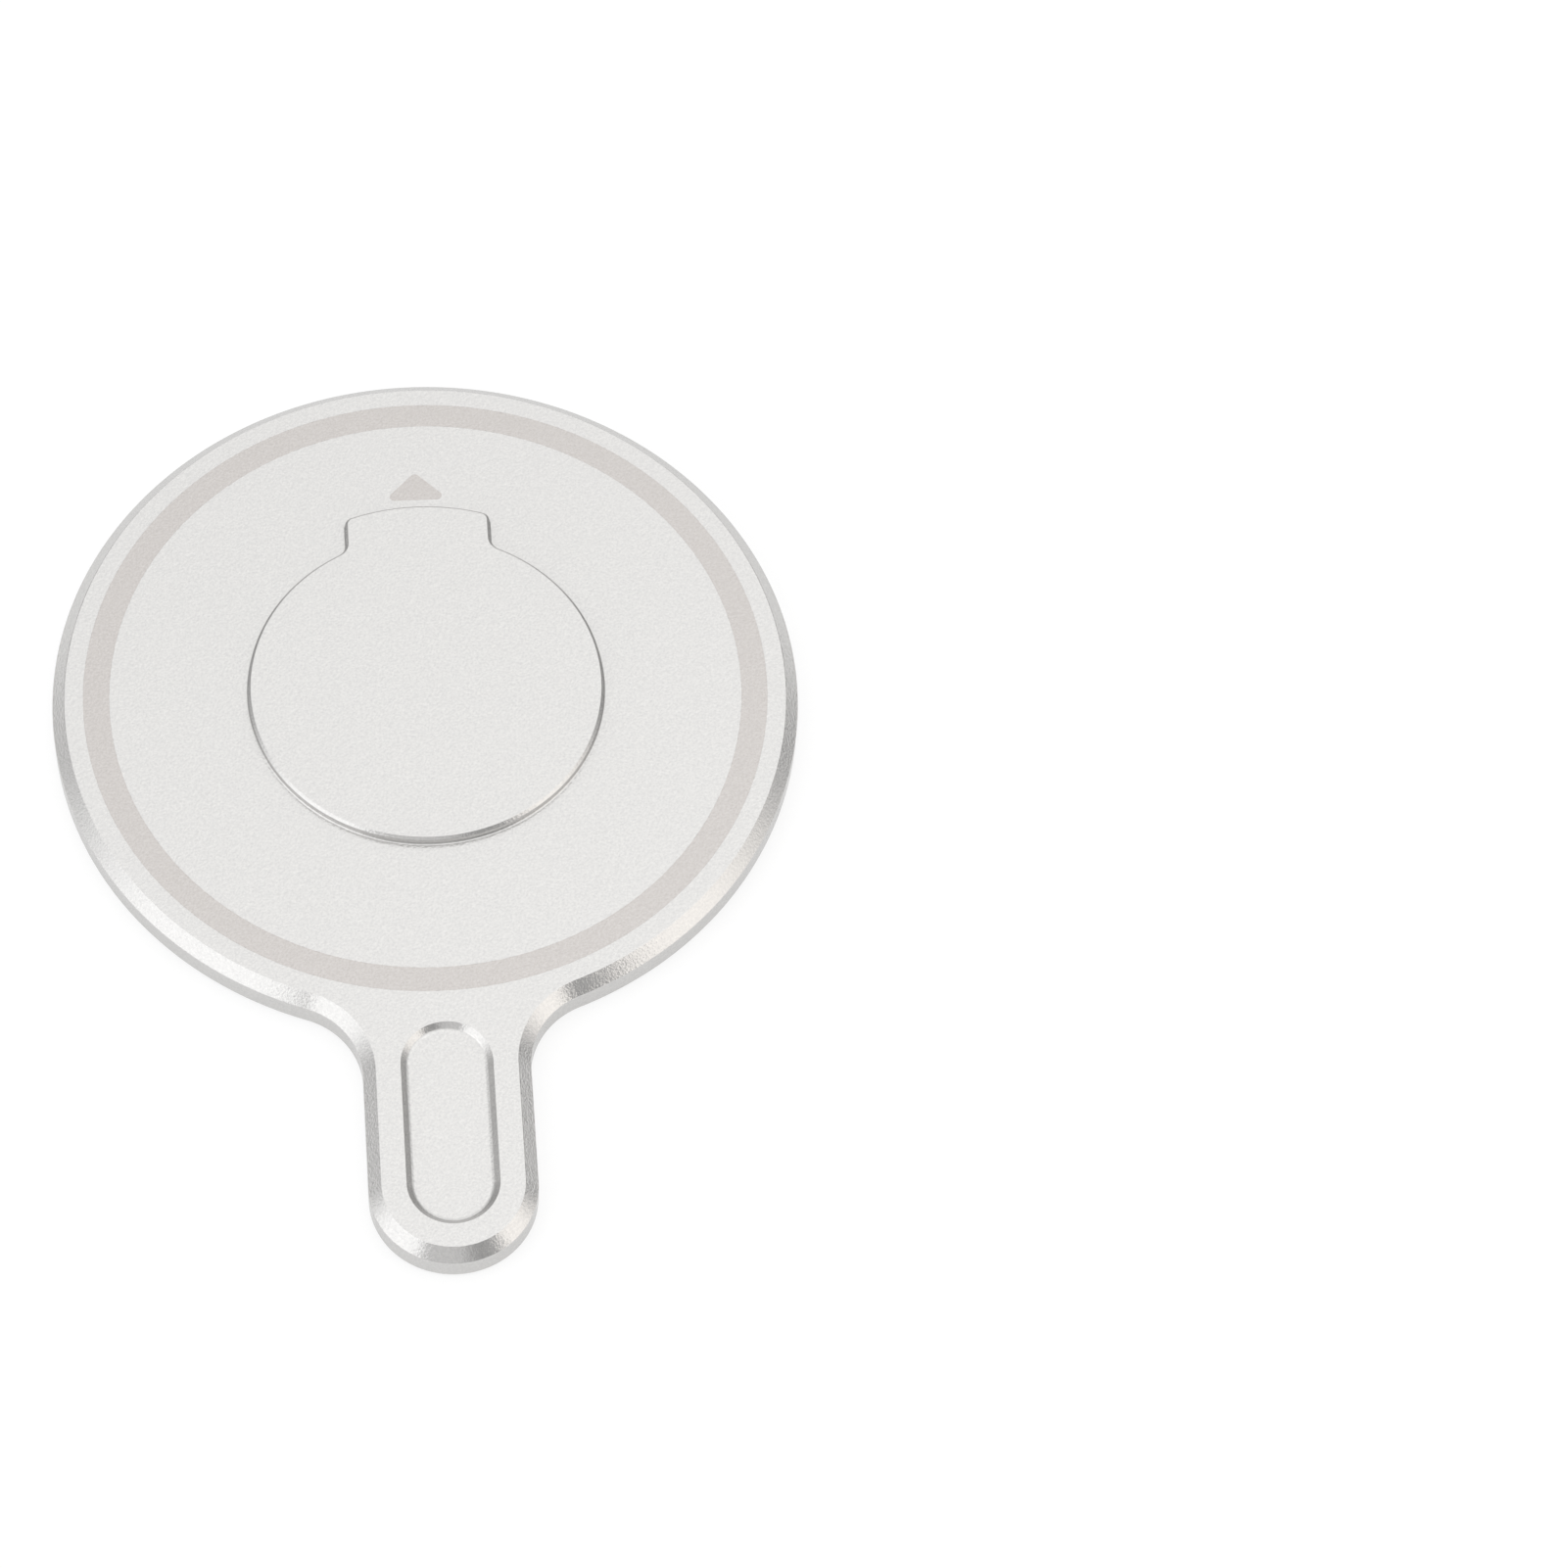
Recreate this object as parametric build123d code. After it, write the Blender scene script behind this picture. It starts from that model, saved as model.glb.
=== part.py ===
from build123d import *
import os
from math import asin, hypot, radians, sqrt, tan

# A magnetic adapter plate: a milled aluminium disc with a short tail. The rear lies on a phone, with
# the pad's face at z = 0. The front carries a keyed boss that drops into a clamp, and a finger recess
# in the tail. Millimetres, +Z out of the front face, +Y from the disc's centre towards the boss's key.

# Magnet ring behind the front face
ring_magnet_count = 16
ring_magnet_od = 54.0
ring_magnet_w = 4.0
ring_magnet_t = 1.0
ring_magnet_gap = 0.15
yoke_t = 0.4
magnet_edge = 0.1
pocket_fit = 0.1

# Plate outline, with a wall round the magnet ring
edge_wall = 2.9
tail_w = 13.1
tail_reach = 50.6
neck_r = 6.5
plate_t = 3.0
front_chamfer = 1.0
rear_chamfer = 0.15

# Soft pad on the rear, in a shallow recess inside a metal rim
rear_rim = 1.3
pad_t = 0.5
pad_proud = 0.2
pad_edge_r = 0.15
film_t = 0.1

# Keyed boss
boss_d = 28.6
boss_h = 0.8
boss_chamfer = 0.22
boss_foot_r = 0.14
key_w = 11.8
key_length = 2.85
key_tip_r = 0.8
key_root_r = 1.2

# Marked fields on the front face, filled flush
mark_depth = 0.1
ring_mark_inset = 2.5
ring_mark_w = 2.1
arrow_gap = 1.0
arrow_base_w = 5.4
arrow_h = 2.7
arrow_corner_r = 0.4

# Finger recess in the tail, with a 45 degree slope all round and a cove at the slope's foot. A land is
# left round it in the tail, and a gap between it and the disc's circle
recess_land = 2.95
recess_gap = 0.2
recess_depth = 0.5
recess_cove_r = 0.45

# Magnets in the tail, inside a wall on each side, and inset from both ends of the finger recess
tail_wall = 3.55
tail_inset = 1.6
tail_magnet_gap = 0.2
tail_corner_r = 0.5

# Magnets behind the boss
key_magnet_count = 6
key_magnet_d = 7.0
key_magnet_t = 2.0
key_magnet_circle_d = 16.0
backing_rim = 1.0
backing_t = 0.6

# Places that follow from the sizes above
groove_outer_r = ring_magnet_od / 2 + pocket_fit
ring_magnet_inner_r = ring_magnet_od / 2 - ring_magnet_w
groove_inner_r = ring_magnet_inner_r - pocket_fit
disc_r = groove_outer_r + edge_wall
rear_z = pad_proud
seat_z = pad_t + film_t
yoke_z = seat_z + ring_magnet_t
front_z = rear_z + plate_t
boss_z = front_z + boss_h
key_reach = boss_d / 2 + key_length
tail_end_y = -(tail_reach - tail_w / 2)
recess_w = tail_w - 2 * recess_land
recess_length = tail_reach - recess_land - (disc_r + recess_gap)
recess_run = recess_length - recess_w
recess_mid_y = tail_end_y + recess_run / 2
tail_magnet_w = tail_w - 2 * tail_wall
tail_magnet_length = (recess_length - 2 * tail_inset - tail_magnet_gap) / 2
tail_magnet_pitch = tail_magnet_length + tail_magnet_gap
backing_r = key_magnet_circle_d / 2 + key_magnet_d / 2 + backing_rim
key_magnet_z = seat_z + backing_t


def slab(face, low_z, high_z):
    """The face's outline as a solid from low_z to high_z."""
    return extrude(Pos(0, 0, low_z) * face, amount=high_z - low_z, dir=(0, 0, 1))


def corners_at(face, x, y):
    """The face's two corners nearest to (x, y) and (-x, y)."""
    return [face.vertices().sort_by_distance((side * x, y, 0))[0] for side in (-1, 1)]


def edges_level(shape, z):
    """The edges that lie flat at height z."""
    near = 1e-4
    return shape.edges().filter_by_position(Axis.Z, z - near, z + near)


def plate_face(inset):
    """Disc and tail with rounded inner corners at the neck, moved inwards by inset."""
    radius = disc_r - inset
    half = tail_w / 2 - inset
    run = Pos(0, tail_end_y / 2) * Rectangle(2 * half, -tail_end_y)
    face = Circle(radius) + run + Pos(0, tail_end_y) * Circle(half)
    return fillet(corners_at(face, half, -sqrt(radius**2 - half**2)), neck_r + inset)


def ring_face(outer_r, inner_r):
    """Flat ring about the disc's centre."""
    return Circle(outer_r) - Circle(inner_r)


def boss_face():
    """Round boss with a straight-sided key, whose end is an arc about the disc's centre."""
    radius = boss_d / 2
    half = key_w / 2
    key = Circle(key_reach) & (Pos(0, key_reach / 2) * Rectangle(key_w, key_reach))
    face = Circle(radius) + key
    face = fillet(corners_at(face, half, sqrt(radius**2 - half**2)), key_root_r)
    return fillet(corners_at(face, half, sqrt(key_reach**2 - half**2)), key_tip_r)


def recess_face(inset):
    """Pill outline of the finger recess, round the same centre as the tail's end."""
    width = recess_w - 2 * inset
    return Pos(0, recess_mid_y) * SlotCenterToCenter(recess_run, width, rotation=90)


def ring_mark_face():
    """The marked ring near the disc's edge."""
    outer_r = disc_r - ring_mark_inset
    return ring_face(outer_r, outer_r - ring_mark_w)


def arrow_mark_face():
    """The marked triangle beyond the key's end, with rounded corners."""
    half = arrow_base_w / 2
    base_y = key_reach + arrow_gap
    triangle = Polygon((-half, base_y), (half, base_y), (0, base_y + arrow_h), align=None)
    return fillet(triangle.vertices(), arrow_corner_r)


def tail_pocket_face(clearance):
    """Outline round the tail's two magnets, under the middle of the finger recess."""
    width = tail_magnet_w + 2 * clearance
    length = tail_magnet_pitch + tail_magnet_length + 2 * clearance
    return Pos(0, recess_mid_y) * RectangleRounded(width, length, tail_corner_r)


def recess_cutter():
    """The space of the finger recess."""
    floor_z = front_z - recess_depth
    rings = [Pos(0, 0, front_z) * recess_face(0), Pos(0, 0, floor_z) * recess_face(recess_depth)]
    space = loft(rings, ruled=True)
    return fillet(edges_level(space, floor_z), recess_cove_r)


def plate():
    """The milled plate: bright front chamfer, boss, finger recess, and the pockets in its rear."""
    body = slab(plate_face(0), rear_z, front_z)
    body = chamfer(edges_level(body, front_z), front_chamfer)
    body = chamfer(edges_level(body, rear_z), rear_chamfer)

    body += slab(boss_face(), front_z, boss_z)
    foot = [e for e in edges_level(body, front_z) if hypot((e @ 0.5).X, (e @ 0.5).Y) <= key_reach]
    body = fillet(foot, boss_foot_r)
    body = chamfer(edges_level(body, boss_z), boss_chamfer)

    body -= recess_cutter()
    body -= slab(ring_mark_face(), front_z - mark_depth, front_z)
    body -= slab(arrow_mark_face(), front_z - mark_depth, front_z)

    body -= slab(plate_face(rear_rim), rear_z, seat_z)
    body -= slab(ring_face(groove_outer_r, groove_inner_r), seat_z, yoke_z + yoke_t)
    body -= slab(tail_pocket_face(pocket_fit), seat_z, yoke_z + yoke_t)
    body -= slab(Circle(backing_r + pocket_fit), seat_z, key_magnet_z)
    for place in PolarLocations(key_magnet_circle_d / 2, key_magnet_count):
        hole = place * Circle(key_magnet_d / 2 + pocket_fit)
        body -= slab(hole, key_magnet_z, key_magnet_z + key_magnet_t)
    return body


def eased(magnet):
    """A magnet with its plated edges broken all round."""
    return chamfer(magnet.edges(), magnet_edge)


def ring_magnet(index):
    """One arc magnet of the ring, with half a gap left at each end."""
    step = 360 / ring_magnet_count
    outer_r = ring_magnet_od / 2
    middle_r = (outer_r + ring_magnet_inner_r) / 2
    half_turn = radians(step / 2) - asin(ring_magnet_gap / 2 / middle_r)
    far = 2 * outer_r
    side = far * tan(half_turn)
    wedge = Polygon((0, 0), (far, -side), (far, side), align=None)
    arc = ring_face(outer_r, ring_magnet_inner_r) & wedge
    return Rot(0, 0, (index + 0.5) * step) * eased(slab(arc, seat_z, yoke_z))


def tail_magnet(index):
    """One of the two block magnets in the tail."""
    middle_y = recess_mid_y + (index - 0.5) * tail_magnet_pitch
    block = Pos(0, middle_y) * RectangleRounded(tail_magnet_w, tail_magnet_length, tail_corner_r)
    return eased(slab(block, seat_z, yoke_z))


def key_magnet(index):
    """One round magnet behind the boss."""
    place = PolarLocations(key_magnet_circle_d / 2, key_magnet_count).locations[index]
    disc = place * Circle(key_magnet_d / 2)
    return eased(slab(disc, key_magnet_z, key_magnet_z + key_magnet_t))


def rear_pad():
    """The soft pad on the rear, with its outer edge rounded off."""
    pad = slab(plate_face(rear_rim + pocket_fit), 0, pad_t)
    return fillet(edges_level(pad, 0), pad_edge_r)


nodes = {
    "plate": plate(),
    "ring_mark": slab(ring_mark_face(), front_z - mark_depth, front_z),
    "arrow_mark": slab(arrow_mark_face(), front_z - mark_depth, front_z),
    "ring_yoke": slab(ring_face(ring_magnet_od / 2, ring_magnet_inner_r), yoke_z, yoke_z + yoke_t),
    "tail_yoke": slab(tail_pocket_face(0), yoke_z, yoke_z + yoke_t),
    "key_backing_disc": slab(Circle(backing_r), seat_z, key_magnet_z),
    "adhesive_film": slab(plate_face(rear_rim + pocket_fit), pad_t, seat_z),
    "rear_pad": rear_pad(),
}
for index in range(ring_magnet_count):
    nodes[f"ring_magnet_{index + 1:02d}"] = ring_magnet(index)
for index in range(2):
    nodes[f"tail_magnet_{index + 1:02d}"] = tail_magnet(index)
for index in range(key_magnet_count):
    nodes[f"key_magnet_{index + 1:02d}"] = key_magnet(index)

os.makedirs("parts", exist_ok=True)
for name, shape in nodes.items():
    export_step(shape, f"parts/{name}.step")
    print(name, round(shape.volume, 2))
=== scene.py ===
# %% [markdown]
# # A magnetic adapter plate for a phone clamp
#
# The real object is one milled piece of aluminium: a thin disc with a short tail. Its rear lies on a
# phone. Its front carries a keyed boss, which drops into a clamp, and a finger recess in the tail.
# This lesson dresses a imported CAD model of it. The CAD pieces stay where they are, and every length
# below is in millimetres in the same frame: the rear pad's face is at z = 0, and +Y points at the key.

from math import atan2, cos, degrees, pi, radians, sin, sqrt, tan

import bmesh
import bpy
from mathutils import Matrix, Vector


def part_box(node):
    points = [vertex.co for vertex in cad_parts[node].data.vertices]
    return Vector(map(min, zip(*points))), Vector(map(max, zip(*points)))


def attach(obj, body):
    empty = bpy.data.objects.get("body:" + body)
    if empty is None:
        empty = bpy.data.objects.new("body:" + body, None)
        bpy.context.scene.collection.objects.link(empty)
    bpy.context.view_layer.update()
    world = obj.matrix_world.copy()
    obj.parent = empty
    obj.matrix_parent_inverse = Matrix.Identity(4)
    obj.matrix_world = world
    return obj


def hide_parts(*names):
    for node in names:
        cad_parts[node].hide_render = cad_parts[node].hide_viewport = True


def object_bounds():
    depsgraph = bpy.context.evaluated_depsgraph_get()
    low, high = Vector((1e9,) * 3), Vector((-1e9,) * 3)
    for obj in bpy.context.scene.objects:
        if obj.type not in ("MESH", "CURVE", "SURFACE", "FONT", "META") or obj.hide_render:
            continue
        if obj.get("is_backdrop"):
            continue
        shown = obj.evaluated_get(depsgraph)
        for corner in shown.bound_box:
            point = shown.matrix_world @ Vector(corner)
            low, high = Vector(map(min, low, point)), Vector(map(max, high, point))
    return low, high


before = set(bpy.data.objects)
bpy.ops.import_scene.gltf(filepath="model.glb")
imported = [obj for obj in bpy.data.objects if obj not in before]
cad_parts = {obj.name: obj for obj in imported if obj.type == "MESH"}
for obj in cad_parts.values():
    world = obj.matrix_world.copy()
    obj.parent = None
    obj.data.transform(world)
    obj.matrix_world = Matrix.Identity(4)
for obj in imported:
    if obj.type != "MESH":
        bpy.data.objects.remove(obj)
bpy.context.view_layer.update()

MM = 0.001
print("CAD pieces:", len(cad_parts))

# %% [markdown]
# ## The camera
#
# The photograph was taken with a long lens from about 60 degrees above the table, a little to the left
# of the tail. Its place and turn were worked out from the disc's circles and the tail's edges, so the
# render can be laid over the photograph. A long lens keeps the disc's ellipse almost the same width at
# the front and at the back, which is how such small products are usually shown.

# %% Camera
PHOTO_SIDE = 1601
FOCAL_PIXELS = 5868
CAMERA_PLACE = (-8.12, -238.93, 400.49)
CAMERA_TURN = (30.127, -2.621, -4.497)

bpy.ops.object.camera_add(
    location=[c * MM for c in CAMERA_PLACE],
    rotation=[radians(a) for a in CAMERA_TURN],
)
camera = bpy.context.object
camera.name = "product_camera"
camera.data.sensor_width = 36
camera.data.lens = camera.data.sensor_width * FOCAL_PIXELS / PHOTO_SIDE
camera.data.clip_start = 0.01
bpy.context.scene.camera = camera
bpy.context.scene.view_settings.view_transform = "Standard"
print("Lens:", round(camera.data.lens, 1), "mm")

# %% [markdown]
# ## Small helpers for colour and nodes
#
# Paint and metal colours are easiest to choose as sRGB hex values, the kind a colour picker shows.
# Blender's shaders work in linear light, so one function turns the first into the second. Another adds
# a shader node, sets it up and links it in one line, which keeps each material short enough to read.

# %% Colour and node helpers
def colour(hex_value):
    """Linear RGBA from an sRGB hex value such as #C8C3C0."""
    channels = [int(hex_value[i:i + 2], 16) / 255 for i in (1, 3, 5)]
    linear = [c / 12.92 if c <= 0.04045 else ((c + 0.055) / 1.055) ** 2.4 for c in channels]
    return (*linear, 1)


def add(tree, kind, inputs=None, **settings):
    """Add a node, set its own settings, and give each named input a number or another node's output."""
    node = tree.nodes.new(kind)
    for name, value in settings.items():
        setattr(node, name, value)
    for name, value in (inputs or {}).items():
        if isinstance(value, bpy.types.NodeSocket):
            tree.links.new(value, node.inputs[name])
        else:
            node.inputs[name].default_value = value
    return node


def new_material(name):
    """An empty node material, with its output node."""
    material = bpy.data.materials.new(name)
    material.use_nodes = True
    material.node_tree.nodes.clear()
    return material, material.node_tree, material.node_tree.nodes.new("ShaderNodeOutputMaterial")


print("Mid grey in linear light:", [round(c, 3) for c in colour("#808080")])

# %% [markdown]
# ## The tent
#
# Bright metal shows its surroundings more than its own colour, so the light is part of the material.
# The plate lies on white in a white tent. The tent is a world shader: a plain glow that grows a little
# with height, with smooth round panels laid over it. The bright panels are the ceiling and the upper
# walls, which the flat face and the far chamfers mirror. Two dim ones lie low behind the plate and
# darken the right and the left of its chamfers. The last two stand on the camera's side: a pale patch
# under the lens, and a small dark gap beside it. That gap puts the short dark streak on every chamfer
# in front, and the streak is what makes the metal look like metal.

# %% World: a white tent with bright and dim panels
world = bpy.data.worlds.new("white_tent")
bpy.context.scene.world = world
world.use_nodes = True
tree = world.node_tree
tree.nodes.clear()
output = tree.nodes.new("ShaderNodeOutputWorld")
ray = add(tree, "ShaderNodeTexCoord").outputs["Generated"]


def heading(azimuth, elevation):
    """Unit direction, with azimuth measured from +X towards +Y."""
    a, e = radians(azimuth), radians(elevation)
    return Vector((cos(a) * cos(e), sin(a) * cos(e), sin(e)))


def panel(below, azimuth, elevation, core, edge, glow):
    """Lay a round panel over the tent: its full glow inside core degrees, none outside edge degrees."""
    near = add(tree, "ShaderNodeVectorMath", {0: ray, 1: heading(azimuth, elevation)},
               operation="DOT_PRODUCT").outputs["Value"]
    share = add(tree, "ShaderNodeMapRange",
                {"Value": near, "From Min": cos(radians(edge)), "From Max": cos(radians(core))},
                interpolation_type="SMOOTHSTEP").outputs["Result"]
    mix = add(tree, "ShaderNodeMix", {"Factor": share}, data_type="FLOAT")
    tree.links.new(below, mix.inputs["A"])
    mix.inputs["B"].default_value = glow
    return mix.outputs["Result"]


LOW_GLOW, HIGH_GLOW, HIGH_FROM = 0.443, 0.557, 0.45

height = add(tree, "ShaderNodeSeparateXYZ", {0: ray}).outputs["Z"]
light = add(tree, "ShaderNodeMapRange", {
    "Value": height, "From Min": 0.0, "From Max": HIGH_FROM,
    "To Min": LOW_GLOW, "To Max": HIGH_GLOW}).outputs["Result"]
light = panel(light, 0, 90, 20, 60, 1.113)       # the ceiling
light = panel(light, 90, 30, 5, 35, 1.174)       # low on the wall behind the plate
light = panel(light, 17, 73, 0, 46, 1.487)       # the ceiling's brighter right side
light = panel(light, 176, 57, 5, 34, 1.322)      # high on the left wall
light = panel(light, 37, -6, 8, 34, 0.03)        # dim, low behind the plate at the right
light = panel(light, 131, -8, 8, 33, 0.05)       # dim, low behind the plate at the left
light = panel(light, -97, 31, 8, 32, 0.73)       # the pale patch under the lens
light = panel(light, -62, 27, 3, 18, 0.226)      # the dark gap beside it
white = add(tree, "ShaderNodeLightPath").outputs["Is Camera Ray"]
shown = add(tree, "ShaderNodeMix", {"Factor": white}, data_type="FLOAT")
tree.links.new(light, shown.inputs["A"])
shown.inputs["B"].default_value = 1.0
back = add(tree, "ShaderNodeBackground", {"Color": (1, 1, 1, 1), "Strength": shown.outputs["Result"]})
tree.links.new(back.outputs[0], output.inputs["Surface"])
print("Tent nodes:", len(tree.nodes))

# %% [markdown]
# ## The softboxes
#
# A large softbox stands on the table on each side. Both are brightest at the end nearest the camera and
# fade out towards the back. The left one puts the white band on the lower left of the chamfer, and the
# slightly warmer right one puts the narrower band beside the dark streak.

# %% Softboxes
def softbox(name, front, back, low, high, full, strength, tint):
    """An upright area lamp that faces the plate. It stands over the line from front to back, from low
    to high above the table. Over the full share of its length, from the front, it has its strength,
    and from there it fades out to the back."""
    a, b = (Vector((*end, 0)) * MM for end in (front, back))
    along = (b - a).normalized()
    middle = (a + b) / 2 + Vector((0, 0, (low + high) / 2 * MM))
    away = Vector((along.y, -along.x, 0))
    if away.dot(middle) < 0:
        away.negate()
    bpy.ops.object.light_add(type="AREA", location=middle)
    lamp = bpy.context.object
    lamp.name = name
    lamp.rotation_euler = Matrix((along, away.cross(along), away)).transposed().to_euler()
    lamp.data.shape = "RECTANGLE"
    lamp.data.size = (b - a).length
    lamp.data.size_y = (high - low) * MM
    # At this power, strength is on the same scale as the tent's glow
    lamp.data.energy = pi * lamp.data.size * lamp.data.size_y
    lamp.data.use_nodes = True
    tree = lamp.data.node_tree
    place = add(tree, "ShaderNodeNewGeometry").outputs["Parametric"]
    across = add(tree, "ShaderNodeSeparateXYZ", {0: place}).outputs["X"]
    fade = add(tree, "ShaderNodeMapRange", {"Value": across, "From Min": full, "From Max": 1.0,
                                            "To Min": strength, "To Max": 0.0}).outputs["Result"]
    tree.nodes["Emission"].inputs["Color"].default_value = (*tint, 1)
    tree.links.new(fade, tree.nodes["Emission"].inputs["Strength"])
    print(name, "is", round(lamp.data.size / MM), "by", round(lamp.data.size_y / MM), "mm")


softbox("left_softbox", (-145, -235), (-385, 119), 5, 260, 0.45, 1.13, (0.985, 0.99, 1))
softbox("right_softbox", (224, -233), (380, 54), 5, 240, 0.47, 1.061, (1, 0.95, 0.90))

# %% [markdown]
# ## The table
#
# The plate lies on matt white card. In the photograph the card is so bright that it is pure white, so
# three quarters of what the camera and the metal see of it are a plain glow. The last quarter is lit
# card, which keeps a pale shadow under the plate, and the glow is a touch over 1, so that the two
# together reach white. The soft light that the table throws back comes from plain lit card.

# %% Table
TABLE_SIZE, TABLE_DROP = 6000, 0.05
CARD_WHITE, LIT_WHITE = (0.8, 0.8, 0.8, 1), (0.95, 0.95, 0.95, 1)
GLOW, GLOW_SHARE = 1.02, 0.75

bpy.ops.mesh.primitive_plane_add(size=TABLE_SIZE * MM, location=(0, 0, -TABLE_DROP * MM))
table = bpy.context.object
table.name = "white_table"
# Uncoated card: its fibres scatter light evenly, so it is plain white and mirrors nothing
white_card, tree, output = new_material("matt_white_card")
path = add(tree, "ShaderNodeLightPath")
seen = path.outputs["Is Camera Ray"]
for ray_kind in ("Is Glossy Ray", "Is Transmission Ray"):
    seen = add(tree, "ShaderNodeMath", {0: seen, 1: path.outputs[ray_kind]},
               operation="MAXIMUM").outputs[0]
card = add(tree, "ShaderNodeBsdfDiffuse", {"Color": CARD_WHITE}).outputs[0]
lit = add(tree, "ShaderNodeBsdfDiffuse", {"Color": LIT_WHITE}).outputs[0]
glow = add(tree, "ShaderNodeEmission", {"Color": (1, 1, 1, 1), "Strength": GLOW}).outputs[0]
shown = add(tree, "ShaderNodeMixShader", {0: GLOW_SHARE, 1: lit, 2: glow}).outputs[0]
surface = add(tree, "ShaderNodeMixShader", {0: seen, 1: card, 2: shown}).outputs[0]
tree.links.new(surface, output.inputs["Surface"])
table.data.materials.append(white_card)
table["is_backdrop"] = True
print("Table:", TABLE_SIZE, "mm wide")

# %% [markdown]
# ## Tracing an outline
#
# Each flat shape here is made of arcs and straight runs that meet smoothly. A good way to draw those by
# hand is to begin with one vertex, then swing it round each arc's centre with Spin and push it along
# each straight run with Extrude. The arcs come out exact, and their steps are as fine as each needs.

# %% Drawing an outline
TOUCHING = 0.002


def alone():
    """Leave edit mode and deselect everything."""
    if bpy.context.object and bpy.context.object.mode != "OBJECT":
        bpy.ops.object.mode_set(mode="OBJECT")
    bpy.ops.object.select_all(action="DESELECT")


def start_outline(name, x, y, z):
    """One vertex to draw with: a small plane whose corners are merged at its middle."""
    alone()
    bpy.ops.mesh.primitive_plane_add(size=MM, location=(x * MM, y * MM, z * MM))
    piece = bpy.context.object
    piece.name = name
    bpy.ops.object.transform_apply()
    bpy.ops.object.mode_set(mode="EDIT")
    bpy.ops.mesh.select_mode(type="VERT")
    bpy.ops.mesh.select_all(action="SELECT")
    bpy.ops.mesh.merge(type="CENTER")
    return piece


def swing(x, y, turn, step):
    """Spin the drawing vertex round (x, y), anticlockwise for a positive turn, in steps of about
    that many degrees."""
    bpy.ops.mesh.spin(steps=max(2, round(abs(turn) / step)), angle=radians(turn),
                      center=(x * MM, y * MM, 0), axis=(0, 0, -1))


def run_by(dx, dy):
    """Extrude the drawing vertex along a straight run."""
    bpy.ops.mesh.extrude_region_move(TRANSFORM_OT_translate={"value": (dx * MM, dy * MM, 0)})


def fill_outline():
    """Join the line's two ends and fill it with one face that looks up."""
    bpy.ops.mesh.select_all(action="SELECT")
    bpy.ops.mesh.remove_doubles(threshold=TOUCHING * MM)
    bpy.ops.mesh.edge_face_add()
    cage = bmesh.from_edit_mesh(bpy.context.object.data)
    cage.normal_update()
    if next(iter(cage.faces)).normal.z < 0:
        bpy.ops.mesh.flip_normals()


print("Points closer than", TOUCHING, "mm are merged")

# %% [markdown]
# ## Shaping a solid
#
# By hand, an outline is extruded, some of its edges are clicked on, and they are bevelled. Here the
# edges are picked by a test, such as lying level at a given height. One solid is then added to another,
# or cut away from it, with a Boolean modifier that is applied at once.

# %% Raising, picking, rounding and cutting
def raise_by(height):
    """Extrude what is selected straight up."""
    bpy.ops.mesh.extrude_region_move(TRANSFORM_OT_translate={"value": (0, 0, height * MM)})


def face_outwards():
    """Turn every face of the piece outwards."""
    bpy.ops.mesh.select_all(action="SELECT")
    bpy.ops.mesh.normals_make_consistent(inside=False)


def pick(piece, kind, wanted):
    """Select only the vertices, edges or faces for which wanted(part) is true, and count them."""
    bpy.ops.mesh.select_mode(type=kind)
    bpy.ops.mesh.select_all(action="DESELECT")
    cage = bmesh.from_edit_mesh(piece.data)
    parts = {"VERT": cage.verts, "EDGE": cage.edges, "FACE": cage.faces}[kind]
    chosen = [part for part in parts if wanted(part)]
    for part in chosen:
        part.select_set(True)
    bmesh.update_edit_mesh(piece.data)
    return len(chosen)


def level(part, z):
    """True where every vertex of an edge or face lies at height z."""
    return all(abs(v.co.z - z * MM) < TOUCHING * MM for v in part.verts)


def round_off(size, segments):
    """Bevel what is selected: one segment cuts a flat chamfer, more make a rounded edge."""
    bpy.ops.mesh.bevel(offset=size * MM, offset_type="OFFSET", segments=segments, profile=0.5,
                       affect="EDGES", clamp_overlap=False)


def combine(piece, tool, operation):
    """Join a tool's solid to the piece, or cut it away, with an applied Boolean modifier."""
    alone()
    piece.select_set(True)
    bpy.context.view_layer.objects.active = piece
    bpy.ops.object.modifier_add(type="BOOLEAN")
    cut = piece.modifiers[-1]
    cut.operation, cut.solver, cut.object = operation, "EXACT", tool
    bpy.ops.object.modifier_apply(modifier=cut.name)
    bpy.data.objects.remove(tool)


print("Edges within", TOUCHING, "mm of a height are level with it")

# %% [markdown]
# ## The plate's outline
#
# The disc's circle runs into the tail through a rounded neck on each side, and the tail ends in a half
# circle. All sizes are real ones in millimetres, and the visible ones come from the photograph. The
# same outline, moved inwards, will also serve for the seat in the rear and for the pad.

# %% Outline of disc and tail
DISC_R, TAIL_HALF, NECK_R = 30.0, 6.55, 6.5
TAIL_END_Y = -44.05
DISC_STEP, TAIL_STEP = 1, 2.5


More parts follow.
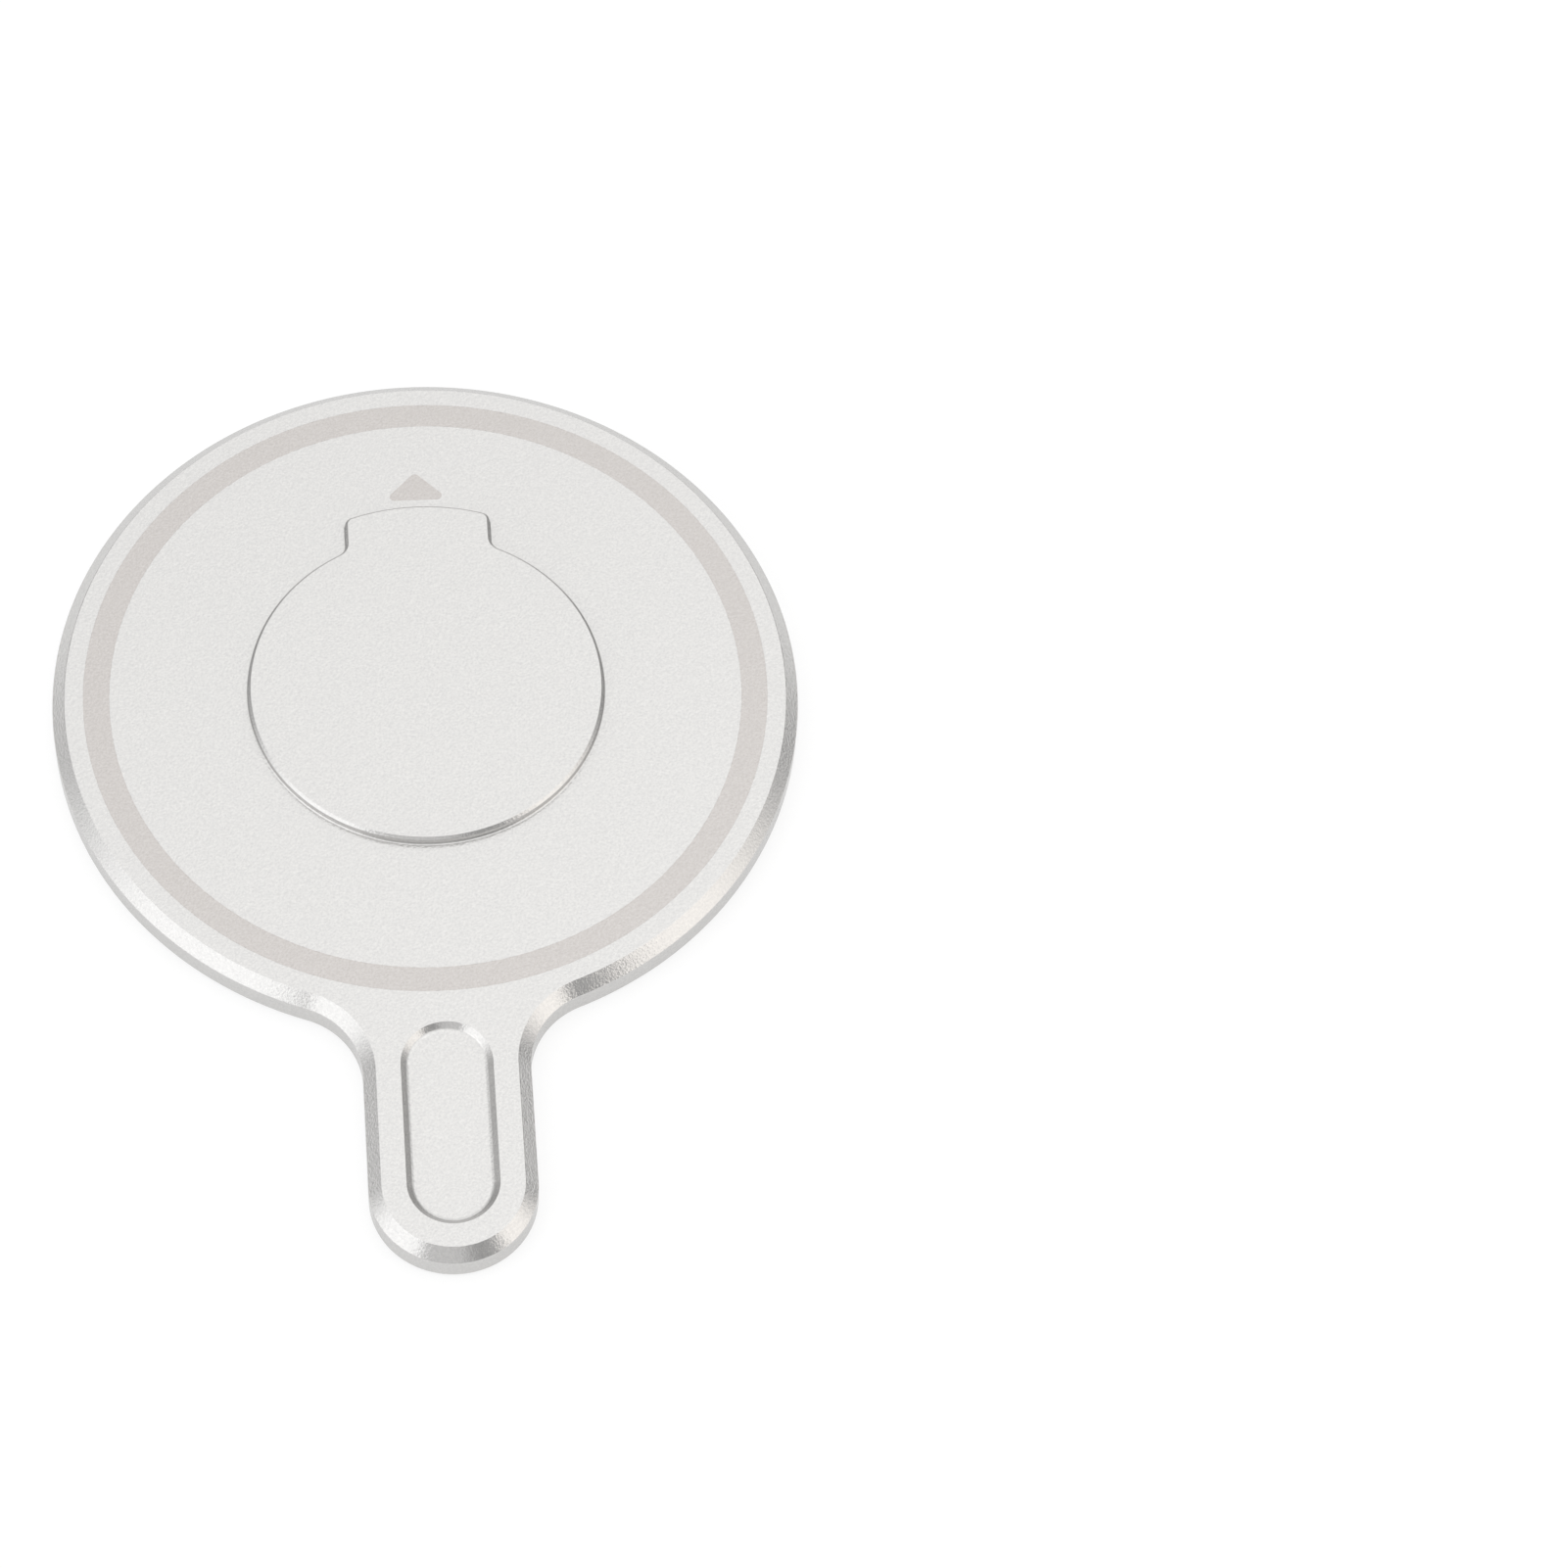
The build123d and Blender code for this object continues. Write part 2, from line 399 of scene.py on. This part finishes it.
def trace_plate(name, inset, z):
    """Disc, neck and tail as one outline, moved inwards by inset."""
    half, disc_r, neck_r = TAIL_HALF - inset, DISC_R - inset, NECK_R + inset
    neck_x = half + neck_r
    neck_y = -sqrt((disc_r + neck_r) ** 2 - neck_x ** 2)
    lean = degrees(atan2(neck_y, neck_x))
    piece = start_outline(name, half, TAIL_END_Y, z)
    run_by(0, neck_y - TAIL_END_Y)
    swing(neck_x, neck_y, lean, TAIL_STEP)
    swing(0, 0, 180 - 2 * lean, DISC_STEP)
    swing(-neck_x, neck_y, lean, TAIL_STEP)
    run_by(0, TAIL_END_Y - neck_y)
    swing(0, TAIL_END_Y, 180, TAIL_STEP)
    fill_outline()
    return piece


tail_reach = round(TAIL_HALF - TAIL_END_Y, 2)
print("Disc", 2 * DISC_R, "mm across, tail reaches", tail_reach, "mm from its centre")

# %% [markdown]
# ## The plate's body
#
# On the real piece an end mill cuts the outline and then runs round its front edge with a chamfer tool.
# Here the outline is raised into a slab, its front rim gets a 1 mm chamfer, its rear rim a small one,
# and then both edges of the front chamfer are broken by a few hundredths. No machined corner is
# perfectly sharp, and that thin rounding is what catches the light along each edge.

# %% Slab and chamfers
REAR_Z, FRONT_Z = 0.2, 3.2
FRONT_CHAMFER, REAR_CHAMFER, EDGE_BREAK = 1.0, 0.15, 0.05

plate_body = trace_plate("plate_body", 0, REAR_Z)
raise_by(FRONT_Z - REAR_Z)
face_outwards()
pick(plate_body, "EDGE", lambda e: level(e, FRONT_Z))
round_off(FRONT_CHAMFER, 1)
pick(plate_body, "EDGE", lambda e: level(e, REAR_Z))
round_off(REAR_CHAMFER, 1)
pick(plate_body, "EDGE", lambda e: level(e, FRONT_Z) or level(e, FRONT_Z - FRONT_CHAMFER))
round_off(EDGE_BREAK, 2)
alone()
print("Slab faces:", len(plate_body.data.polygons))

# %% [markdown]
# ## The keyed boss
#
# The boss is round, with a straight-sided key on the arrow's side, so that the clamp takes it only one
# way. The tool that milled it left a rounded corner where the key meets the circle, and a tiny cove all
# along its foot. It is traced and raised like the plate, joined to it, and the foot is then rounded.

# %% Outline of the boss
BOSS_R, KEY_HALF, KEY_REACH, KEY_ROOT_R, KEY_TIP_R = 14.3, 5.9, 17.15, 1.2, 0.8
BOSS_STEP, KEY_STEP = 1.5, 7


def trace_boss(name, z):
    """Round boss with its key, as one outline."""
    root_x = KEY_HALF + KEY_ROOT_R
    root_y = sqrt((BOSS_R + KEY_ROOT_R) ** 2 - root_x ** 2)
    tip_x = KEY_HALF - KEY_TIP_R
    tip_y = sqrt((KEY_REACH - KEY_TIP_R) ** 2 - tip_x ** 2)
    root_lean = degrees(atan2(root_y, root_x))
    tip_lean = degrees(atan2(tip_y, tip_x))
    piece = start_outline(name, KEY_HALF, root_y, z)
    run_by(0, tip_y - root_y)
    swing(tip_x, tip_y, tip_lean, KEY_STEP)
    swing(0, 0, 180 - 2 * tip_lean, BOSS_STEP)
    swing(-tip_x, tip_y, tip_lean, KEY_STEP)
    run_by(0, root_y - tip_y)
    swing(-root_x, root_y, -root_lean, KEY_STEP)
    swing(0, 0, 180 + 2 * root_lean, BOSS_STEP)
    swing(root_x, root_y, -root_lean, KEY_STEP)
    fill_outline()
    return piece


print("Boss", 2 * BOSS_R, "mm across, key", 2 * KEY_HALF, "mm wide")

# %% [markdown]
# The raised outline starts half a millimetre down in the plate, so that the two solids overlap and join
# cleanly. After the join, the foot is where the plate's front face turns up by more than 60 degrees.

# %% Boss
BOSS_Z, BOSS_SUNK = 4.0, 0.5
BOSS_CHAMFER, BOSS_FOOT_R = 0.22, 0.14
STEEP = radians(60)

boss = trace_boss("boss", FRONT_Z - BOSS_SUNK)
raise_by(BOSS_Z - FRONT_Z + BOSS_SUNK)
face_outwards()
pick(boss, "EDGE", lambda e: level(e, BOSS_Z))
round_off(BOSS_CHAMFER, 1)
pick(boss, "EDGE", lambda e: level(e, BOSS_Z) or level(e, BOSS_Z - BOSS_CHAMFER))
round_off(EDGE_BREAK / 2, 2)
combine(plate_body, boss, "UNION")

bpy.ops.object.mode_set(mode="EDIT")
foot = pick(plate_body, "EDGE", lambda e: level(e, FRONT_Z) and len(e.link_faces) == 2
            and e.calc_face_angle() > STEEP)
round_off(BOSS_FOOT_R, 5)
alone()
print("Edges round the boss's foot:", foot)

# %% [markdown]
# ## The finger recess
#
# A pill-shaped hollow in the tail gives the finger a place to pull. Its side is a 45 degree slope that
# runs out into the flat floor through a cove. The cutter has the shape of the hollow, and starts as its
# outline in the plate's face: Inset with a depth makes the slope, and Bevel the cove. Its top is then
# lifted clear of the face.

# %% Cutter for the recess
RECESS_HALF, RECESS_TOP_Y, RECESS_STEP = 3.6, -33.8, 4
RECESS_DEPTH, RECESS_COVE_R, CUTTER_LIFT = 0.5, 0.45, 1

cutter = start_outline("recess_cutter", RECESS_HALF, TAIL_END_Y, FRONT_Z)
run_by(0, RECESS_TOP_Y - TAIL_END_Y)
swing(0, RECESS_TOP_Y, 180, RECESS_STEP)
run_by(0, TAIL_END_Y - RECESS_TOP_Y)
swing(0, TAIL_END_Y, 180, RECESS_STEP)
fill_outline()
bpy.ops.mesh.inset(thickness=RECESS_DEPTH * MM, depth=-RECESS_DEPTH * MM)
pick(cutter, "EDGE", lambda e: level(e, FRONT_Z - RECESS_DEPTH))
round_off(RECESS_COVE_R * tan(radians(22.5)), 5)
pick(cutter, "EDGE", lambda e: e.is_boundary)
raise_by(CUTTER_LIFT)
bpy.ops.mesh.edge_face_add()
face_outwards()
print("Cutter faces:", len(bmesh.from_edit_mesh(cutter.data).faces))

# %% [markdown]
# Cutting the recess leaves a crisp rim in the face. Beyond the disc and within the recess's width, its
# edges are the only ones where the face tilts by more than 15 degrees, and they are broken like the
# others.

# %% Finger recess
TILTED, RIM_MARGIN = radians(15), 0.1

combine(plate_body, cutter, "DIFFERENCE")
bpy.ops.object.mode_set(mode="EDIT")
rim = pick(plate_body, "EDGE", lambda e: level(e, FRONT_Z) and len(e.link_faces) == 2
           and e.calc_face_angle() > TILTED and e.verts[0].co.y < -DISC_R * MM
           and abs(e.verts[0].co.x) < (RECESS_HALF + RIM_MARGIN) * MM)
round_off(EDGE_BREAK / 2, 2)
alone()
print("Edges round the recess's rim:", rim)

# %% [markdown]
# ## Grooves for the marks
#
# The ring mark and the arrow are pieces of their own, a tenth of a millimetre deep, so the face has a
# shallow groove for each. A ring-shaped cutter is two circles bridged into a flat ring and raised.

# %% Cutters for the marks
RING_SIDES = 360
ARROW_BASE_Y, ARROW_HALF, ARROW_CORNER_R, ARROW_STEP = 18.15, 2.7, 0.4, 15


def ring_cutter(name, outer_r, inner_r, low, high):
    """A square-edged ring: two circles bridged into a flat ring, then extruded."""
    alone()
    place = (0, 0, low * MM)
    bpy.ops.mesh.primitive_circle_add(vertices=RING_SIDES, radius=outer_r * MM, location=place)
    ring = bpy.context.object
    ring.name = name
    bpy.ops.object.transform_apply()
    bpy.ops.object.mode_set(mode="EDIT")
    bpy.ops.mesh.primitive_circle_add(vertices=RING_SIDES, radius=inner_r * MM, location=place)
    bpy.ops.mesh.select_mode(type="EDGE")
    bpy.ops.mesh.select_all(action="SELECT")
    bpy.ops.mesh.bridge_edge_loops()
    bpy.ops.mesh.select_all(action="SELECT")
    raise_by(high - low)
    face_outwards()
    return ring


def trace_arrow(name, z):
    """Triangle that points away from the key, with rounded corners."""
    base_x = ARROW_HALF - ARROW_CORNER_R / tan(radians(22.5))
    base_y = ARROW_BASE_Y + ARROW_CORNER_R
    tip_y = ARROW_BASE_Y + ARROW_HALF - ARROW_CORNER_R * sqrt(2)
    piece = start_outline(name, -base_x, ARROW_BASE_Y, z)
    run_by(2 * base_x, 0)
    swing(base_x, base_y, 135, ARROW_STEP)
    run_by(-base_x, tip_y - base_y)
    swing(0, tip_y, 90, ARROW_STEP)
    run_by(-base_x, base_y - tip_y)
    swing(-base_x, base_y, 135, ARROW_STEP)
    fill_outline()
    return piece


print("Arrow", 2 * ARROW_HALF, "mm wide and", ARROW_HALF, "mm high before its corners are rounded")

# %% Cut the grooves
MARK_DEPTH, MARK_OUTER_R, MARK_INNER_R = 0.1, 27.5, 25.4

mark_floor = FRONT_Z - MARK_DEPTH
ring_groove = ring_cutter("ring_groove", MARK_OUTER_R, MARK_INNER_R, mark_floor, BOSS_Z)
combine(plate_body, ring_groove, "DIFFERENCE")
arrow_groove = trace_arrow("arrow_groove", mark_floor)
raise_by(BOSS_Z - mark_floor)
face_outwards()
combine(plate_body, arrow_groove, "DIFFERENCE")
print("Faces with both grooves:", len(plate_body.data.polygons))

# %% [markdown]
# ## Seat and pockets in the rear
#
# The rear has a wide shallow seat for the pad. Above it are a groove for the phone's magnets, a round
# seat with six holes behind the boss, and a pocket in the tail. Nobody sees them on a finished plate,
# but the part can be opened up in this model, so they are cut as the real ones would be. Every cutter
# for a pocket starts lower than the seat's floor, so that no thin skin is left between the two.

# %% Seat for the pad
REAR_RIM, SEAT_Z = 1.3, 0.6

pad_seat = trace_plate("pad_seat", REAR_RIM, 0)
raise_by(SEAT_Z)
face_outwards()
combine(plate_body, pad_seat, "DIFFERENCE")
print("Faces with the seat:", len(plate_body.data.polygons))

# %% Pockets behind the front face
CUT_FROM_Z, POCKET_TOP_Z = 0.3, 2.0
GROOVE_OUTER_R, GROOVE_INNER_R = 27.1, 22.9
BACKING_R, HOLE_LOW_Z, HOLE_TOP_Z = 12.6, 1.2, 3.2
MAGNET_CIRCLE_R, MAGNET_HOLE_R, MAGNET_TURN = 8.0, 3.6, 60
DISC_SIDES = 120


def disc_cutter(name, radius, low, high, x=0, y=0):
    """A round cutter between two heights."""
    alone()
    place = (x * MM, y * MM, (low + high) / 2 * MM)
    bpy.ops.mesh.primitive_cylinder_add(vertices=DISC_SIDES, radius=radius * MM,
                                        depth=(high - low) * MM, location=place)
    bpy.context.object.name = name
    bpy.ops.object.transform_apply()
    return bpy.context.object


magnet_groove = ring_cutter("magnet_groove", GROOVE_OUTER_R, GROOVE_INNER_R,
                            CUT_FROM_Z, POCKET_TOP_Z)
combine(plate_body, magnet_groove, "DIFFERENCE")
combine(plate_body, disc_cutter("backing_seat", BACKING_R, CUT_FROM_Z, HOLE_LOW_Z), "DIFFERENCE")
for turn in range(0, 360, MAGNET_TURN):
    x, y = MAGNET_CIRCLE_R * cos(radians(turn)), MAGNET_CIRCLE_R * sin(radians(turn))
    magnet_hole = disc_cutter("magnet_hole", MAGNET_HOLE_R, SEAT_Z, HOLE_TOP_Z, x, y)
    combine(plate_body, magnet_hole, "DIFFERENCE")
print("Faces with the round pockets:", len(plate_body.data.polygons))

# %% Pocket in the tail
POCKET_FIT, TAIL_POCKET_CORNER_R = 0.1, 0.5

low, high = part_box("tail_yoke")
alone()
bpy.ops.mesh.primitive_cube_add(size=1)
tail_pocket = bpy.context.object
tail_pocket.name = "tail_pocket"
tail_pocket.scale = (high.x - low.x + 2 * POCKET_FIT * MM, high.y - low.y + 2 * POCKET_FIT * MM,
                     (POCKET_TOP_Z - CUT_FROM_Z) * MM)
tail_pocket.location = (0, (low.y + high.y) / 2, (POCKET_TOP_Z + CUT_FROM_Z) / 2 * MM)
bpy.ops.object.transform_apply()
bpy.ops.object.mode_set(mode="EDIT")
# Only the four upright edges
pick(tail_pocket, "EDGE", lambda e: abs(e.verts[0].co.z - e.verts[1].co.z) > MM)
round_off(TAIL_POCKET_CORNER_R, 4)
combine(plate_body, tail_pocket, "DIFFERENCE")
print("Faces with the tail's pocket:", len(plate_body.data.polygons))

# %% [markdown]
# ## Smooth shading
#
# The arcs are made of short flat steps. Shading them smooth hides the steps, and keeping corners over
# 30 degrees sharp keeps the chamfers crisp. Weighted normals then let each large face win over the thin
# rounded edges beside it, so that flat faces and chamfers stay true in a reflection. The modifier reads
# face areas and passes over very small ones. So the mesh is made a thousand times larger for it, which
# turns metres into millimetres, and is brought back afterwards.

# %% Shade the plate
SHARP = radians(30)
BY_AREA_ALONE, SAME_AREA = 100, 0.005


def resize(piece, times):
    """Make the mesh itself larger or smaller about the origin."""
    piece.scale = (times, times, times)
    bpy.ops.object.transform_apply(location=False, rotation=False)


def finish_shape(piece):
    """Smooth shading by angle, with the large faces' normals kept."""
    alone()
    piece.select_set(True)
    bpy.context.view_layer.objects.active = piece
    bpy.ops.object.shade_smooth_by_angle(angle=SHARP)
    resize(piece, 1 / MM)
    bpy.ops.object.modifier_add(type="WEIGHTED_NORMAL")
    weighting = piece.modifiers[-1]
    weighting.keep_sharp, weighting.weight, weighting.thresh = True, BY_AREA_ALONE, SAME_AREA
    bpy.ops.object.modifier_apply(modifier=weighting.name)
    resize(piece, MM)


finish_shape(plate_body)
print("Plate vertices:", len(plate_body.data.vertices))

# %% [markdown]
# ## The rear pad
#
# A thin sheet of soft silicone fills the seat on the rear and stands 0.2 mm proud of the metal rim, so
# that the metal never touches the phone. Its outer edge is moulded with a small radius.

# %% Rear pad
PAD_T, PAD_GAP, PAD_EDGE_R = 0.5, 0.1, 0.15

soft_pad = trace_plate("soft_pad", REAR_RIM + PAD_GAP, 0)
raise_by(PAD_T)
face_outwards()
pick(soft_pad, "EDGE", lambda e: level(e, 0))
round_off(PAD_EDGE_R, 4)
finish_shape(soft_pad)
print("Pad faces:", len(soft_pad.data.polygons))

# %% [markdown]
# ## Blasted and anodised aluminium
#
# Fine glass beads leave thousands of shallow dents, and clear anodising keeps them. Each dent tilts the
# surface a little, so a reflection breaks up into a soft sparkle where bright meets dark, and the flat
# face looks evenly pale. The colour also holds painted shade of the dents: two shades follow their
# depth, darker where a dent is low and paler where it is high. The dents are a fifth of a millimetre
# across here: the real ones are finer, but would not show at this size. The pattern is turned, so that
# no flat face lies along its own grid.
# The oxide layer scatters part of the light before it reaches the metal, so a quarter of the shading is
# that of a matt surface. At a glancing angle the layer takes a little light, as the specular tint does.
#
# A laser has heated the ring and the arrow until the oxide turned a warm grey. The metal under the mark
# has the same dents and the same painted shade in them, so it is the same finish in another colour.

# %% Blasted finishes
DENT, DENT_DEPTH, CLOUD = 0.19, 0.024, 6
PATTERN_TURN = (0.5, 0.35, 0.2)
DENT_SHADE_FROM, DENT_SHADE_TO = 0.3, 0.7
GLOSS_FROM, GLOSS_TO = 0.17, 0.21
METAL_SHARE, GLANCING = 0.75, (0.82, 0.82, 0.82, 1)


def blasted_metal(name, dark, pale):
    """Blasted and anodised aluminium, with painted shade of its dents: darker where low, paler where
    high.
    """
    material, tree, output = new_material(name)
    place = add(tree, "ShaderNodeTexCoord").outputs["Object"]
    turned = add(tree, "ShaderNodeMapping", {"Vector": place, "Rotation": PATTERN_TURN}).outputs[0]
    dents = add(tree, "ShaderNodeTexNoise", {
        "Vector": turned, "Scale": 1 / (DENT * MM), "Detail": 2.0, "Roughness": 0.6}).outputs["Fac"]
    clouds = add(tree, "ShaderNodeTexNoise", {
        "Vector": turned, "Scale": 1 / (CLOUD * MM), "Detail": 2.0}).outputs["Fac"]
    # Painted shade: the dents' own height sets the colour, darker where a dent is low, paler where it
    # is high
    dent_shade = add(tree, "ShaderNodeMapRange", {
        "Value": dents, "From Min": DENT_SHADE_FROM, "From Max": DENT_SHADE_TO}).outputs["Result"]
    skin = add(tree, "ShaderNodeMix", {"Factor": dent_shade}, data_type="RGBA")
    skin.inputs["A"].default_value = colour(dark)
    skin.inputs["B"].default_value = colour(pale)
    gloss = add(tree, "ShaderNodeMapRange", {
        "Value": clouds, "To Min": GLOSS_FROM, "To Max": GLOSS_TO}).outputs["Result"]
    relief = add(tree, "ShaderNodeBump", {
        "Height": dents, "Strength": 1.0, "Distance": DENT_DEPTH * MM})
    metal = add(tree, "ShaderNodeBsdfPrincipled", {
        "Base Color": skin.outputs["Result"], "Metallic": METAL_SHARE, "Roughness": gloss,
        "Specular Tint": GLANCING, "Normal": relief.outputs["Normal"]})
    tree.links.new(metal.outputs[0], output.inputs["Surface"])
    return material


# Blasted, then anodised clear: satin silver with a fine even sparkle and painted shade in its dents
blasted = blasted_metal("blasted_anodised_aluminium", "#C9C8C7", "#D5D4D2")
# The same surface, marked with a laser: one shade darker and warmer, with the same sparkle and painted
# shade
marked = blasted_metal("laser_marked_aluminium", "#BAB6B3", "#C5C1BE")
plate_body.data.materials.clear()
plate_body.data.materials.append(blasted)
for name in ("ring_mark", "arrow_mark"):
    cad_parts[name].material_slots[0].material = marked
print("Finishes:", blasted.name, "and", marked.name)

# %% [markdown]
# ## Steel, magnets, film and silicone
#
# These pieces are inside the plate or behind it, and are finished plainly. The yokes are zinc-plated
# strip, cool grey and a bit dull. The magnets are nickel plated in a barrel, which leaves a satin shine
# with a yellowish cast. The film is clear adhesive with a frosty surface. The pad is matt black
# silicone, whose fine moulded texture kills any sharp highlight. Each grain is drawn a few tenths of a
# millimetre across or more. The real ones are finer, but would not show at this size.

# %% Plain finishes
GRAIN_RELIEF = 0.4


def plain_material(name, dark, pale, metallic, roughness, grain, depth):
    """A finish with a fine even grain: colour and relief both follow one noise."""
    material, tree, output = new_material(name)
    place = add(tree, "ShaderNodeTexCoord").outputs["Object"]
    noise = add(tree, "ShaderNodeTexNoise", {"Vector": place, "Scale": 1 / (grain * MM), "Detail": 3.0})
    skin = add(tree, "ShaderNodeMix", {"Factor": noise.outputs["Fac"]}, data_type="RGBA")
    skin.inputs["A"].default_value = colour(dark)
    skin.inputs["B"].default_value = colour(pale)
    relief = add(tree, "ShaderNodeBump", {
        "Height": noise.outputs["Fac"], "Strength": GRAIN_RELIEF, "Distance": depth * MM})
    surface = add(tree, "ShaderNodeBsdfPrincipled", {
        "Base Color": skin.outputs["Result"], "Metallic": metallic, "Roughness": roughness,
        "Normal": relief.outputs["Normal"]})
    tree.links.new(surface.outputs[0], output.inputs["Surface"])
    return material


# Rolled strip, zinc plated: cool grey with a dull shine
zinc = plain_material("zinc_plated_steel", "#B4B6BA", "#CBCDD0", 1.0, 0.38, 0.6, 0.01)
# Barrel-plated nickel: a satin shine with a faint warm cast
nickel = plain_material("satin_nickel_plating", "#C2BDB2", "#D2CEC5", 1.0, 0.24, 0.3, 0.005)
# Coated film: frosty, pale and slightly yellow
film = plain_material("clear_adhesive_film", "#CFC9B8", "#DAD5C6", 0.0, 0.45, 1.5, 0.01)
# Silicone from a blasted mould: soft matt black with no sharp highlight
silicone = plain_material("soft_touch_silicone", "#222326", "#2C2D30", 0.0, 0.62, 0.3, 0.02)
for name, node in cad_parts.items():
    if "magnet" in name:
        node.material_slots[0].material = nickel
    elif name in ("ring_yoke", "tail_yoke", "key_backing_disc"):
        node.material_slots[0].material = zinc
    elif name == "adhesive_film":
        node.material_slots[0].material = film
soft_pad.data.materials.clear()
soft_pad.data.materials.append(silicone)
print("Materials:", [m.name for m in bpy.data.materials if m.users])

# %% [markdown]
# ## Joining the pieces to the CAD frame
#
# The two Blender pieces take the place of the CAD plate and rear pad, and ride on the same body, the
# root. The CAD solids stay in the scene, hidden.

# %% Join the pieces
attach(plate_body, "root")
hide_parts("plate")
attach(soft_pad, "root")
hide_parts("rear_pad")
print("Replaced: plate and rear_pad")

# %% [markdown]
# ## The dressed model's size
#
# The dressed model has to keep the CAD model's size. Its box is printed in millimetres.

# %% The dressed model's size
low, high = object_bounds()
print("Dressed box in mm:", [round(c / MM, 2) for c in high - low])
